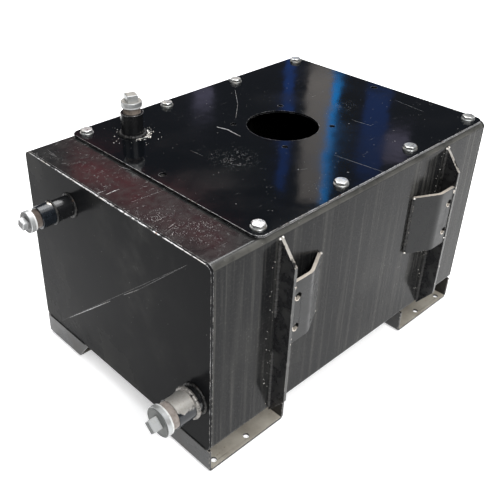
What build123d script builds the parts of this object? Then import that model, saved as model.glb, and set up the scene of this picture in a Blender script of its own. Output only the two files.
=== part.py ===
from build123d import *
from math import cos, pi, radians, sin, tan
import os

# Hydraulic reservoir: a welded sheet-steel tank on four channel feet, with a bolted lid,
# a tank-top filter opening, a filler socket, two end ports and two side brackets.
# Millimetres, +Z up. The origin is on the ground, at the middle of the tank's plan.
# X runs along the tank, the two ports are on its -X end, the brackets on its -Y side.

# ---- driving dimensions ----
TANK_LENGTH = 590.0
TANK_WIDTH = 400.0
TANK_HEIGHT = 304.0        # shell only, without the feet
FOOT_HEIGHT = 41.0
WALL = 4.0                 # sheet thickness of the shell
BEND_RADIUS = 9.0          # outside radius of the shell's long bends

LID_FRONT_STRIP = 78.0     # fixed strip of deck between the front end and the lid
LID_INSET = 2.0            # lid edge to the tank's sides and rear end
LID_THICKNESS = 3.0
LID_CORNER_RADIUS = 14.0
GASKET_THICKNESS = 1.5
BOLT_EDGE = 18.0           # bolt centre line to the lid's edge
RIM_WIDTH = 34.0           # deck left under the lid's edge
BOLTS_PER_SIDE = 4
BOLT_RADIUS = 5.0
BOLT_HOLE_RADIUS = 5.5
BOLT_LENGTH = 22.0
BOLT_HEAD_FLATS = 17.0
BOLT_HEAD_HEIGHT = 4.4
WASHER_RADIUS = 10.5
WASHER_THICKNESS = 2.0
NUT_RADIUS = 8.0
NUT_HEIGHT = 8.0
RUNNING_GAP = 0.05         # radial gap of a screw in its socket or nut

FILTER_RADIUS = 56.0       # tank-top filter opening
FILTER_BOLT_CIRCLE = 152.0
FILTER_BOLT_RADIUS = 4.5
FILTER_FROM_FRONT = 337.0

FILLER_FROM_FRONT = 147.0
FILLER_FROM_FAR_SIDE = 68.0
FILLER_SOCKET_RADIUS = 17.4
FILLER_SOCKET_HEIGHT = 35.0

RETURN_FROM_NEAR_SIDE = 290.0
RETURN_HEIGHT = 300.0
RETURN_STUB_RADIUS = 15.6
RETURN_STUB_LENGTH = 29.0
RETURN_STUB_INSIDE = 22.0   # the same pipe's length inside the front end
RETURN_BORE_RADIUS = 12.0
RETURN_SOCKET_RADIUS = 16.2
RETURN_SOCKET_LENGTH = 23.0

SUCTION_FROM_NEAR_SIDE = 28.0
SUCTION_HEIGHT = 122.0
SUCTION_STUB_RADIUS = 20.0
SUCTION_STUB_LENGTH = 12.0
SUCTION_BORE_RADIUS = 15.5
SUCTION_SOCKET_RADIUS = 20.6
SUCTION_SOCKET_LENGTH = 31.0

THREAD_PITCH = 1.5
SMALL_THREAD_RADIUS = 13.0  # M26 x 1.5
LARGE_THREAD_RADIUS = 19.0  # M38 x 1.5

# Plugs with a collar and a flat-sided head: SMALL in the filler and return sockets, LARGE
# in the suction socket. Each head is side x width x height, turned about the plug's axis.
SEAL_THICKNESS = 2.6
COLLAR_HEIGHT = 6.4
RIM_OF_COLLAR = 2.6        # plain rim outside the ring turned in the collar's face
RECESS_WIDTH = 1.2
RECESS_DEPTH = 0.5
SMALL_GAP = 9.0            # socket mouth to sealing ring, the plug being part screwed in
SMALL_SEAL_RADIUS = 15.4
SMALL_COLLAR_RADIUS = 15.8
SMALL_DEPTH = 12.0         # plug tip below the socket mouth
LARGE_GAP = 11.0
LARGE_SEAL_RADIUS = 21.6
LARGE_COLLAR_RADIUS = 22.0
LARGE_DEPTH = 14.0
FILLER_HEAD = (16.5, 16.5, 10.0)
FILLER_HEAD_TURN = -20.0
RETURN_HEAD = (13.0, 12.0, 8.5)
RETURN_HEAD_TURN = -16.0
SUCTION_HEAD = (17.5, 11.0, 13.5)
SUCTION_HEAD_TURN = -40.0

GUSSET_THICKNESS = 5.0
GUSSET_DEPTH = 26.5
GUSSET_FRONT_X = 115.0     # front faces of the two gussets, from the front end
GUSSET_REAR_X = 483.0
GUSSET_TOP_RUN = 34.0      # height of the sloping cut at a gusset's top
GUSSET_BOTTOM_RUN = 35.0

BRACKET_THICKNESS = 5.0
BRACKET_DEPTH = 25.5
BRACKET_FLAT = 35.0        # width of the flat that carries the holes
BRACKET_ANGLE = 28.0       # bend back towards the wall
BRACKET_BEND_RADIUS = 25.0
BRACKET_HEIGHT = 100.0
BRACKET_MIDDLE_Z = 229.0
BRACKET_HOLE_PITCH = 50.0
BRACKET_HOLE_RADIUS = 5.5
BRACKET_HOLE_FROM_GUSSET = 8.0

FOOT_LENGTH = 150.0        # along the tank
FOOT_REACH_BASE = 85.0     # across the tank, at the ground
FOOT_REACH_TOP = 115.0     # across the tank, under the floor
FOOT_SHEET = 4.0
FOOT_BEND_RADIUS = 7.0
FOOT_HOLE_RADIUS = 4.5
FOOT_HOLE_FROM_SIDE = 10.0
FOOT_HOLES_FROM_END = (18.0, 82.0)

# Inside the tank.
BAFFLE_FROM_NEAR_SIDE = 108.0
BAFFLE_LENGTH = 430.0
BAFFLE_HEIGHT = 220.0
BAFFLE_NOTCH_RADIUS = 22.0
BAFFLE_NOTCHES_FROM_END = (110.0, 320.0)
DROP_PIPE_FROM_FRONT = 56.0
DROP_PIPE_ABOVE_FLOOR = 45.0
DROP_PIPE_BEND = 28.0
DROP_PIPE_WALL = 3.0
STRAINER_FROM_FRONT = 30.0
STRAINER_LENGTH = 140.0
STRAINER_RADIUS = 21.5
STRAINER_CAP = 12.0
SCREEN_RADIUS = 20.2
SCREEN_BORE_RADIUS = 18.8
CAGE_RADIUS = 18.5
CAGE_BORE_RADIUS = 17.0
CAGE_ROWS = 5
CAGE_HOLES_ACROSS = 4      # through drillings in each row
CAGE_HOLE_RADIUS = 5.0

# ---- places worked out from them ----
FRONT_X = -TANK_LENGTH / 2
REAR_X = TANK_LENGTH / 2
NEAR_Y = -TANK_WIDTH / 2
FAR_Y = TANK_WIDTH / 2
FLOOR_Z = FOOT_HEIGHT
DECK_Z = FOOT_HEIGHT + TANK_HEIGHT
GASKET_TOP_Z = DECK_Z + GASKET_THICKNESS
LID_TOP_Z = GASKET_TOP_Z + LID_THICKNESS
LID_FRONT_X = FRONT_X + LID_FRONT_STRIP
LID_REAR_X = REAR_X - LID_INSET
LID_MIDDLE_X = (LID_FRONT_X + LID_REAR_X) / 2
LID_LENGTH = LID_REAR_X - LID_FRONT_X
LID_WIDTH = TANK_WIDTH - 2 * LID_INSET
FILLER_X = FRONT_X + FILLER_FROM_FRONT
FILLER_Y = FAR_Y - FILLER_FROM_FAR_SIDE
FILTER_X = FRONT_X + FILTER_FROM_FRONT
RETURN_Y = NEAR_Y + RETURN_FROM_NEAR_SIDE
SUCTION_Y = NEAR_Y + SUCTION_FROM_NEAR_SIDE
RETURN_MOUTH_X = FRONT_X - RETURN_STUB_LENGTH - RETURN_SOCKET_LENGTH
SUCTION_MOUTH_X = FRONT_X - SUCTION_STUB_LENGTH - SUCTION_SOCKET_LENGTH
FILLER_MOUTH_Z = LID_TOP_Z + FILLER_SOCKET_HEIGHT
STRAINER_X = FRONT_X + STRAINER_FROM_FRONT


def block(x0, x1, y0, y1, z0, z1):
    """A box between two corners."""
    corner = (Align.MIN, Align.MIN, Align.MIN)
    return Pos(x0, y0, z0) * Box(x1 - x0, y1 - y0, z1 - z0, align=corner)


def upright(radius, z0, z1, x=0.0, y=0.0):
    """A vertical cylinder."""
    bottom = (Align.CENTER, Align.CENTER, Align.MIN)
    return Pos(x, y, z0) * Cylinder(radius, z1 - z0, align=bottom)


def along_x(shape, x, y, z):
    """Turn a shape built up +Z so that it points out of the tank's front end, -X."""
    return Pos(x, y, z) * Rot(0, -90, 0) * shape


def rounded_slab(length, width, radius, z0, z1, x, y=0.0):
    """A flat plate with rounded corners."""
    outline = RectangleRounded(length, width, radius)
    return Pos(x, y, z0) * extrude(outline, amount=z1 - z0)


def shell_outline(inset):
    """The shell's section in the YZ plane, drawn in by inset."""
    width = TANK_WIDTH - 2 * inset
    height = TANK_HEIGHT - 2 * inset
    return RectangleRounded(width, height, BEND_RADIUS - inset)


def shell_prism(inset, x0, x1):
    """The shell's section run along X."""
    middle_z = FLOOR_Z + TANK_HEIGHT / 2
    plane = Plane(origin=(x0, 0, middle_z), x_dir=(0, 1, 0), z_dir=(1, 0, 0))
    return extrude(plane * shell_outline(inset), amount=x1 - x0)


# ---- places of the lid's holes ----
def lid_bolt_places():
    """The eight bolts, four along each long edge."""
    first_x = LID_FRONT_X + BOLT_EDGE
    last_x = LID_REAR_X - BOLT_EDGE
    step = (last_x - first_x) / (BOLTS_PER_SIDE - 1)
    row_y = LID_WIDTH / 2 - BOLT_EDGE
    return [(first_x + i * step, side * row_y) for side in (-1, 1) for i in range(BOLTS_PER_SIDE)]


def spare_hole_places():
    """Two tapped places with no bolt, halfway along the lid's short edges."""
    return [(LID_FRONT_X + BOLT_EDGE, 0.0), (LID_REAR_X - BOLT_EDGE, 0.0)]


def filter_hole_places():
    """Four holes round the filter opening, on a square lined up with the tank."""
    half = FILTER_BOLT_CIRCLE / 2 * cos(pi / 4)
    return [(FILTER_X + sx * half, sy * half) for sx in (-1, 1) for sy in (-1, 1)]


def drill(plate, places, radius, z0, z1):
    """Cut the same vertical hole at several places."""
    for x, y in places:
        plate -= upright(radius, z0 - 1, z1 + 1, x, y)
    return plate


# ---- shell ----
def make_tank_wrap():
    """Floor, two long walls and deck as one bent sheet, open at both ends."""
    wrap = shell_prism(0, FRONT_X + WALL, REAR_X - WALL) - shell_prism(WALL, FRONT_X, REAR_X)
    opening_length = LID_LENGTH - 2 * RIM_WIDTH
    opening_width = LID_WIDTH - 2 * RIM_WIDTH
    wrap -= rounded_slab(
        opening_length, opening_width, LID_CORNER_RADIUS, DECK_Z - 10, DECK_Z + 1, LID_MIDDLE_X)
    places = lid_bolt_places() + spare_hole_places()
    return drill(wrap, places, BOLT_HOLE_RADIUS, DECK_Z - WALL, DECK_Z)


def make_front_end_plate():
    """Front end with the two port holes."""
    plate = shell_prism(0, FRONT_X, FRONT_X + WALL)
    for radius, y, z in (
            (RETURN_STUB_RADIUS, RETURN_Y, RETURN_HEIGHT),
            (SUCTION_STUB_RADIUS, SUCTION_Y, SUCTION_HEIGHT)):
        plate -= along_x(Cylinder(radius, 4 * WALL), FRONT_X + WALL / 2, y, z)
    return plate


def make_rear_end_plate():
    return shell_prism(0, REAR_X - WALL, REAR_X)


def make_baffle_plate():
    """Upright plate that keeps the return side apart from the suction side."""
    y0 = NEAR_Y + BAFFLE_FROM_NEAR_SIDE
    x0 = FRONT_X + WALL
    z0 = FLOOR_Z + WALL
    plate = block(x0, x0 + BAFFLE_LENGTH, y0, y0 + WALL, z0, z0 + BAFFLE_HEIGHT)
    for distance in BAFFLE_NOTCHES_FROM_END:
        notch = Cylinder(BAFFLE_NOTCH_RADIUS, 4 * WALL)
        plate -= Pos(x0 + distance, y0, z0) * Rot(90, 0, 0) * notch
    return plate


def make_lid_nuts():
    """Round tapped bosses welded under the deck, one below each lid hole."""
    nuts = []
    top = DECK_Z - WALL
    for x, y in lid_bolt_places() + spare_hole_places():
        nut = upright(NUT_RADIUS, top - NUT_HEIGHT, top, x, y)
        nut = chamfer(nut.edges().sort_by(Axis.Z)[0], 1.0)
        nuts.append(nut - upright(BOLT_RADIUS + RUNNING_GAP, top - 2 * NUT_HEIGHT, top + 1, x, y))
    return Compound(children=nuts)


# ---- lid ----
def make_lid_gasket():
    """Flat rubber frame between the deck's rim and the lid."""
    gasket = rounded_slab(
        LID_LENGTH - 2, LID_WIDTH - 2, LID_CORNER_RADIUS - 1, DECK_Z, GASKET_TOP_Z, LID_MIDDLE_X)
    gasket -= rounded_slab(
        LID_LENGTH - 2 * RIM_WIDTH, LID_WIDTH - 2 * RIM_WIDTH, LID_CORNER_RADIUS,
        DECK_Z - 1, GASKET_TOP_Z + 1, LID_MIDDLE_X)
    places = lid_bolt_places() + spare_hole_places()
    return drill(gasket, places, BOLT_HOLE_RADIUS, DECK_Z, GASKET_TOP_Z)


def make_lid_plate():
    """Lid with its bolt holes, filter opening and the hole that the filler socket stands in."""
    lid = rounded_slab(
        LID_LENGTH, LID_WIDTH, LID_CORNER_RADIUS, GASKET_TOP_Z, LID_TOP_Z, LID_MIDDLE_X)
    lid = chamfer(lid.edges().group_by(Axis.Z)[-1], 0.5)
    places = lid_bolt_places() + spare_hole_places()
    lid = drill(lid, places, BOLT_HOLE_RADIUS, GASKET_TOP_Z, LID_TOP_Z)
    lid = drill(lid, filter_hole_places(), FILTER_BOLT_RADIUS, GASKET_TOP_Z, LID_TOP_Z)
    lid = drill(lid, [(FILTER_X, 0)], FILTER_RADIUS, GASKET_TOP_Z, LID_TOP_Z)
    return drill(lid, [(FILLER_X, FILLER_Y)], FILLER_SOCKET_RADIUS, GASKET_TOP_Z, LID_TOP_Z)


def make_bolt(x, y):
    """Hexagon screw with a chamfered head, its bearing face on the washer."""
    head_z = LID_TOP_Z + WASHER_THICKNESS
    corner = BOLT_HEAD_FLATS / 2 / cos(radians(30))
    hexagon = extrude(RegularPolygon(corner, 6), amount=BOLT_HEAD_HEIGHT)
    dome = Cone(corner + 6, BOLT_HEAD_FLATS / 2 - 0.4, BOLT_HEAD_HEIGHT,
                align=(Align.CENTER, Align.CENTER, Align.MIN))
    tip = upright(BOLT_RADIUS, -BOLT_LENGTH, 0)
    tip = chamfer(tip.edges().sort_by(Axis.Z)[0], 1.0)
    return Pos(x, y, head_z) * (hexagon & dome) + Pos(x, y, head_z) * tip


def make_washer(x, y):
    ring = upright(WASHER_RADIUS, LID_TOP_Z, LID_TOP_Z + WASHER_THICKNESS, x, y)
    ring = chamfer(ring.edges().sort_by(Axis.Z)[-1], 0.4)
    return ring - upright(BOLT_RADIUS + 0.3, LID_TOP_Z - 1, LID_TOP_Z + 3, x, y)


def make_lid_bolts():
    return Compound(children=[make_bolt(x, y) for x, y in lid_bolt_places()])


def make_lid_washers():
    return Compound(children=[make_washer(x, y) for x, y in lid_bolt_places()])


# ---- screwed sockets and their plugs, built up +Z with the socket's mouth at z = 0 ----
def make_socket(outer_radius, thread_radius, length):
    """A round socket below z = 0 with a chamfered mouth."""
    socket = upright(outer_radius, -length, 0)
    socket = chamfer(socket.edges().sort_by(Axis.Z)[-1], 0.7)
    socket -= upright(thread_radius + RUNNING_GAP, -length - 1, 1)
    mouth = Cone(thread_radius, thread_radius + 0.5, 0.5, align=(Align.CENTER, Align.CENTER, Align.MAX))
    return socket - mouth


def make_seal(thread_radius, outer_radius, gap, thickness):
    """The sealing ring under a plug's collar."""
    ring = upright(outer_radius, gap, gap + thickness)
    ring = chamfer(ring.edges().sort_by(Axis.Z)[-1], 0.4)
    return ring - upright(thread_radius + 2 * RUNNING_GAP, gap - 1, gap + thickness + 1)


def thread_profile(radius, bottom, top):
    """Half section of a threaded shank: a plain tip, then V grooves at the thread's pitch."""
    depth = 0.6 * THREAD_PITCH
    points = [(0, bottom), (radius - depth, bottom), (radius, bottom + depth)]
    count = int((top - bottom - 2 * THREAD_PITCH) / THREAD_PITCH)
    for i in range(count):
        z = bottom + depth + i * THREAD_PITCH
        points.append((radius - depth, z + THREAD_PITCH / 2))
        points.append((radius, z + THREAD_PITCH))
    points.append((radius, top))
    points.append((0, top))
    return points


def ring_recess(collar_radius, top):
    """Shallow turned ring in a collar's outer face, inside its rim."""
    outer = upright(collar_radius - RIM_OF_COLLAR, top - RECESS_DEPTH, top + 1)
    return outer - upright(collar_radius - RIM_OF_COLLAR - RECESS_WIDTH, top - 1, top + 2)


def make_plug(thread_radius, collar_radius, head_size, head_turn, seat, depth):
    """Screw plug: its collar's under face is at seat, its tip at -depth."""
    points = thread_profile(thread_radius, -depth, seat)
    half_section = make_face(Plane.XZ * Polyline(*points, close=True))
    shank = revolve(half_section, Axis.Z)
    collar = upright(collar_radius, seat, seat + COLLAR_HEIGHT)
    collar = chamfer(collar.edges().sort_by(Axis.Z)[-1], 0.8)
    collar -= ring_recess(collar_radius, seat + COLLAR_HEIGHT)
    side, width, height = head_size
    bottom = (Align.CENTER, Align.CENTER, Align.MIN)
    head = Box(width, side, height, align=bottom)
    head = chamfer(head.edges().group_by(Axis.Z)[-1], 0.8)
    return shank + collar + Pos(0, 0, seat + COLLAR_HEIGHT) * Rot(0, 0, head_turn) * head


def small_seal():
    return make_seal(SMALL_THREAD_RADIUS, SMALL_SEAL_RADIUS, SMALL_GAP, SEAL_THICKNESS)


def small_plug(head_size, head_turn):
    return make_plug(
        SMALL_THREAD_RADIUS, SMALL_COLLAR_RADIUS, head_size, head_turn,
        SMALL_GAP + SEAL_THICKNESS, SMALL_DEPTH)


def large_seal():
    return make_seal(LARGE_THREAD_RADIUS, LARGE_SEAL_RADIUS, LARGE_GAP, SEAL_THICKNESS)


def large_plug():
    return make_plug(
        LARGE_THREAD_RADIUS, LARGE_COLLAR_RADIUS, SUCTION_HEAD, SUCTION_HEAD_TURN,
        LARGE_GAP + SEAL_THICKNESS, LARGE_DEPTH)


def make_filler_socket():
    length = FILLER_SOCKET_HEIGHT + LID_THICKNESS
    return make_socket(FILLER_SOCKET_RADIUS, SMALL_THREAD_RADIUS, length)


def at_filler(shape):
    return Pos(FILLER_X, FILLER_Y, FILLER_MOUTH_Z) * shape


def at_return(shape):
    return along_x(shape, RETURN_MOUTH_X, RETURN_Y, RETURN_HEIGHT)


def at_suction(shape):
    return along_x(shape, SUCTION_MOUTH_X, SUCTION_Y, SUCTION_HEIGHT)


# ---- pipes ----
def make_stub(radius, bore, x0, x1, y, z):
    """Plain pipe through the front end plate, from x0 outside to x1 inside."""
    pipe = Cylinder(radius, x1 - x0) - Cylinder(bore, x1 - x0 + 2)
    return along_x(pipe, (x0 + x1) / 2, y, z)


def make_return_drop_pipe():
    """Elbow and straight pipe that carry the returning oil down towards the floor."""
    start_x = FRONT_X + RETURN_STUB_INSIDE
    drop_x = FRONT_X + DROP_PIPE_FROM_FRONT
    foot_z = FLOOR_Z + DROP_PIPE_ABOVE_FLOOR
    route = FilletPolyline(
        (start_x, RETURN_Y, RETURN_HEIGHT), (drop_x, RETURN_Y, RETURN_HEIGHT),
        (drop_x, RETURN_Y, foot_z), radius=DROP_PIPE_BEND)
    start = Plane(origin=(start_x, RETURN_Y, RETURN_HEIGHT), z_dir=(1, 0, 0))
    ring = Circle(RETURN_STUB_RADIUS) - Circle(RETURN_STUB_RADIUS - DROP_PIPE_WALL)
    pipe = sweep(start * ring, path=route)
    slope = Pos(drop_x, RETURN_Y, foot_z) * Rot(0, 45, 0)
    return pipe - slope * Box(160, 60, 40, align=(Align.CENTER, Align.CENTER, Align.MAX))


def strainer_tube(outer, inner, x0, x1):
    pipe = Cylinder(outer, x1 - x0) - Cylinder(inner, x1 - x0 + 2)
    return along_x(pipe, (x0 + x1) / 2, SUCTION_Y, SUCTION_HEIGHT)


def make_strainer_cage():
    """Perforated tube that holds the screen."""
    x1 = STRAINER_X + STRAINER_LENGTH
    cage = strainer_tube(CAGE_RADIUS, CAGE_BORE_RADIUS, STRAINER_X + STRAINER_CAP, x1 - STRAINER_CAP)
    pitch = (STRAINER_LENGTH - 2 * STRAINER_CAP) / (CAGE_ROWS + 1)
    for i in range(CAGE_ROWS):
        for j in range(CAGE_HOLES_ACROSS):
            turn = 180 / CAGE_HOLES_ACROSS * (j + 0.5 * (i % 2))
            cross = Cylinder(CAGE_HOLE_RADIUS, 3 * CAGE_RADIUS)
            x = STRAINER_X + STRAINER_CAP + (i + 1) * pitch
            cage -= Pos(x, SUCTION_Y, SUCTION_HEIGHT) * Rot(turn, 0, 0) * cross
    return cage


def make_strainer_screen():
    """Wire-cloth sleeve over the cage."""
    x1 = STRAINER_X + STRAINER_LENGTH
    return strainer_tube(SCREEN_RADIUS, SCREEN_BORE_RADIUS, STRAINER_X + STRAINER_CAP, x1 - STRAINER_CAP)


def make_strainer_collar():
    """Collar that joins the strainer to the inner end of the suction pipe."""
    return strainer_tube(STRAINER_RADIUS, SUCTION_BORE_RADIUS, STRAINER_X, STRAINER_X + STRAINER_CAP)


def make_strainer_end_cap():
    x1 = STRAINER_X + STRAINER_LENGTH
    cap = along_x(Cylinder(STRAINER_RADIUS, STRAINER_CAP), x1 - STRAINER_CAP / 2, SUCTION_Y, SUCTION_HEIGHT)
    return chamfer(cap.edges().group_by(Axis.X)[-1], 1.5)


# ---- side gussets and brackets ----
def make_gusset(face_x):
    """Upright plate on the near wall, its two outer corners cut off at a slope."""
    bottom = FLOOR_Z
    top = DECK_Z - BEND_RADIUS
    outline = Polyline(
        (NEAR_Y, bottom), (NEAR_Y, top),
        (NEAR_Y - GUSSET_DEPTH, top - GUSSET_TOP_RUN),
        (NEAR_Y - GUSSET_DEPTH, bottom + GUSSET_BOTTOM_RUN), close=True)
    plane = Plane(origin=(face_x, 0, 0), x_dir=(0, 1, 0), z_dir=(1, 0, 0))
    return extrude(plane * make_face(outline), amount=GUSSET_THICKNESS)


def make_bracket(gusset_x, direction):
    """Bent plate from a gusset's outer edge back to the wall, with two holes in its flat."""
    angle = radians(BRACKET_ANGLE)
    t = BRACKET_THICKNESS
    mitre = t * tan(angle / 2)
    run = (BRACKET_DEPTH - t * cos(angle)) / tan(angle)
    end_x = BRACKET_FLAT + run
    outer = [(0, -BRACKET_DEPTH), (BRACKET_FLAT, -BRACKET_DEPTH), (end_x, -t * cos(angle))]
    inner = [(end_x - t * sin(angle), 0), (BRACKET_FLAT - mitre, t - BRACKET_DEPTH), (0, t - BRACKET_DEPTH)]
    section = make_face(Polyline(*outer, *inner, close=True))
    bend = [v for v in section.vertices() if BRACKET_FLAT - mitre - 0.1 < v.X < BRACKET_FLAT + 0.1]
    section = fillet(bend, BRACKET_BEND_RADIUS)
    bottom = BRACKET_MIDDLE_Z - BRACKET_HEIGHT / 2
    plate = Pos(0, NEAR_Y, bottom) * extrude(section, amount=BRACKET_HEIGHT)
    for side in (-1, 1):
        z = BRACKET_MIDDLE_Z + side * BRACKET_HOLE_PITCH / 2
        hole = Cylinder(BRACKET_HOLE_RADIUS, 3 * t)
        plate -= Pos(BRACKET_HOLE_FROM_GUSSET, NEAR_Y - BRACKET_DEPTH + t / 2, z) * Rot(90, 0, 0) * hole
    if direction < 0:
        plate = mirror(plate, Plane.YZ)
    return Pos(gusset_x, 0, 0) * plate


# ---- feet ----
def make_foot(end, side):
    """Channel foot under one corner: a base, two upstanding flanges, a sloping inner end."""
    outer = Rectangle(FOOT_LENGTH, FOOT_HEIGHT, align=Align.MIN)
    outer = fillet(outer.vertices().group_by(Axis.Y)[0], FOOT_BEND_RADIUS)
    inner = Pos(FOOT_SHEET, FOOT_SHEET) * Rectangle(
        FOOT_LENGTH - 2 * FOOT_SHEET, FOOT_HEIGHT, align=Align.MIN)
    inner = fillet(inner.vertices().group_by(Axis.Y)[0], FOOT_BEND_RADIUS - FOOT_SHEET)
    across = Plane(origin=(0, 0, 0), x_dir=(1, 0, 0), z_dir=(0, -1, 0))
    foot = extrude(across * (outer - inner), amount=-FOOT_REACH_TOP)
    slope = Polyline(
        (FOOT_REACH_BASE, 0), (FOOT_REACH_TOP, FOOT_HEIGHT),
        (FOOT_REACH_TOP + 5, FOOT_HEIGHT), (FOOT_REACH_TOP + 5, 0), close=True)
    lengthways = Plane(origin=(-1, 0, 0), x_dir=(0, 1, 0), z_dir=(1, 0, 0))
    foot -= extrude(lengthways * make_face(slope), amount=FOOT_LENGTH + 2)
    for x in FOOT_HOLES_FROM_END:
        foot -= upright(FOOT_HOLE_RADIUS, -1, 2 * FOOT_SHEET, x, FOOT_HOLE_FROM_SIDE)
    foot = Pos(FRONT_X, NEAR_Y, 0) * foot
    if end > 0:
        foot = mirror(foot, Plane.YZ)
    if side > 0:
        foot = mirror(foot, Plane.XZ)
    return foot


# ---- all the pieces, one file each ----
pieces = {
    "tank_wrap": make_tank_wrap(),
    "front_end_plate": make_front_end_plate(),
    "rear_end_plate": make_rear_end_plate(),
    "baffle_plate": make_baffle_plate(),
    "lid_nuts": make_lid_nuts(),
    "lid_gasket": make_lid_gasket(),
    "lid_plate": make_lid_plate(),
    "lid_bolts": make_lid_bolts(),
    "lid_washers": make_lid_washers(),
    "filler_socket": at_filler(make_filler_socket()),
    "filler_seal": at_filler(small_seal()),
    "filler_plug": at_filler(small_plug(FILLER_HEAD, FILLER_HEAD_TURN)),
    "return_stub": make_stub(
        RETURN_STUB_RADIUS, RETURN_BORE_RADIUS, FRONT_X - RETURN_STUB_LENGTH,
        FRONT_X + RETURN_STUB_INSIDE, RETURN_Y, RETURN_HEIGHT),
    "return_socket": at_return(
        make_socket(RETURN_SOCKET_RADIUS, SMALL_THREAD_RADIUS, RETURN_SOCKET_LENGTH)),
    "return_seal": at_return(small_seal()),
    "return_plug": at_return(small_plug(RETURN_HEAD, RETURN_HEAD_TURN)),
    "return_drop_pipe": make_return_drop_pipe(),
    "suction_stub": make_stub(
        SUCTION_STUB_RADIUS, SUCTION_BORE_RADIUS, FRONT_X - SUCTION_STUB_LENGTH,
        STRAINER_X, SUCTION_Y, SUCTION_HEIGHT),
    "suction_socket": at_suction(
        make_socket(SUCTION_SOCKET_RADIUS, LARGE_THREAD_RADIUS, SUCTION_SOCKET_LENGTH)),
    "suction_seal": at_suction(large_seal()),
    "suction_plug": at_suction(large_plug()),
    "strainer_collar": make_strainer_collar(),
    "strainer_cage": make_strainer_cage(),
    "strainer_screen": make_strainer_screen(),
    "strainer_end_cap": make_strainer_end_cap(),
    "gusset_front": make_gusset(FRONT_X + GUSSET_FRONT_X),
    "gusset_rear": make_gusset(FRONT_X + GUSSET_REAR_X),
    "bracket_front": make_bracket(FRONT_X + GUSSET_FRONT_X + GUSSET_THICKNESS, 1),
    "bracket_rear": make_bracket(FRONT_X + GUSSET_REAR_X, -1),
}
for end, end_name in ((-1, "front"), (1, "rear")):
    for side, side_name in ((-1, "near"), (1, "far")):
        pieces["foot_" + end_name + "_" + side_name] = make_foot(end, side)

os.makedirs("parts", exist_ok=True)
for name, shape in pieces.items():
    export_step(shape, "parts/" + name + ".step")
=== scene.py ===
import math
import random

import bmesh
import bpy
from mathutils import Matrix, Vector


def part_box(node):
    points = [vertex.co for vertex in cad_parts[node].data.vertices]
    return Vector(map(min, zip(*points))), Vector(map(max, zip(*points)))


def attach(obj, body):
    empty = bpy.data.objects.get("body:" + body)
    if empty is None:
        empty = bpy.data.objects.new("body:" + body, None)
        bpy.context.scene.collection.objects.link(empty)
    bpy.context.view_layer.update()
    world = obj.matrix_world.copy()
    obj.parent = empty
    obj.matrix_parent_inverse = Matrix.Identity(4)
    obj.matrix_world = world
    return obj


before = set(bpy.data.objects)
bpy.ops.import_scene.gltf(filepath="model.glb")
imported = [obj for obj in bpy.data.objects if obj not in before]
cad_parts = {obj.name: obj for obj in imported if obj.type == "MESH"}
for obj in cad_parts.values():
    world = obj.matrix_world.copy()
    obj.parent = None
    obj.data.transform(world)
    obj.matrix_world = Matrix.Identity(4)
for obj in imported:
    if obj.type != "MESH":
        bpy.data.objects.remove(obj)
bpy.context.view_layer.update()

random.seed(7)

# ------------------------------------------------------------------ places read from the frame
MM = 0.001
wrap_lo, wrap_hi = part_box("tank_wrap")
lid_lo, lid_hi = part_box("lid_plate")
FRONT_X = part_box("front_end_plate")[0][0]
NEAR_Y = wrap_lo[1]
FAR_Y = wrap_hi[1]
FLOOR_Z = wrap_lo[2]
DECK_Z = wrap_hi[2]
LID_Z = lid_hi[2]


def middle(node):
    """The centre of a CAD node's box."""
    lo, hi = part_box(node)
    return (Vector(lo) + Vector(hi)) / 2


# ------------------------------------------------------------------ camera
CAMERA_PLACE = (-0.7452, -0.6786, 0.8143)
CAMERA_AZIMUTH = 42.15      # degrees from +Y towards +X
CAMERA_ELEVATION = 32.85    # degrees looking down
CAMERA_LENS = 52.04         # millimetres, on a 36 mm sensor
CAMERA_SHIFT = (0.1002, -0.0314)


def make_camera():
    """The viewing angle: from above the near end corner, looking along the tank."""
    data = bpy.data.cameras.new("camera")
    data.sensor_width = 36.0
    data.lens = CAMERA_LENS
    data.shift_x, data.shift_y = CAMERA_SHIFT
    data.clip_start = 0.01
    data.clip_end = 50.0
    camera = bpy.data.objects.new("camera", data)
    bpy.context.scene.collection.objects.link(camera)
    azimuth = math.radians(CAMERA_AZIMUTH)
    elevation = math.radians(CAMERA_ELEVATION)
    camera.location = CAMERA_PLACE
    look = Vector((
        math.cos(elevation) * math.sin(azimuth),
        math.cos(elevation) * math.cos(azimuth),
        -math.sin(elevation)))
    camera.rotation_mode = "QUATERNION"
    camera.rotation_quaternion = look.to_track_quat("-Z", "Y")
    bpy.context.scene.camera = camera


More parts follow.
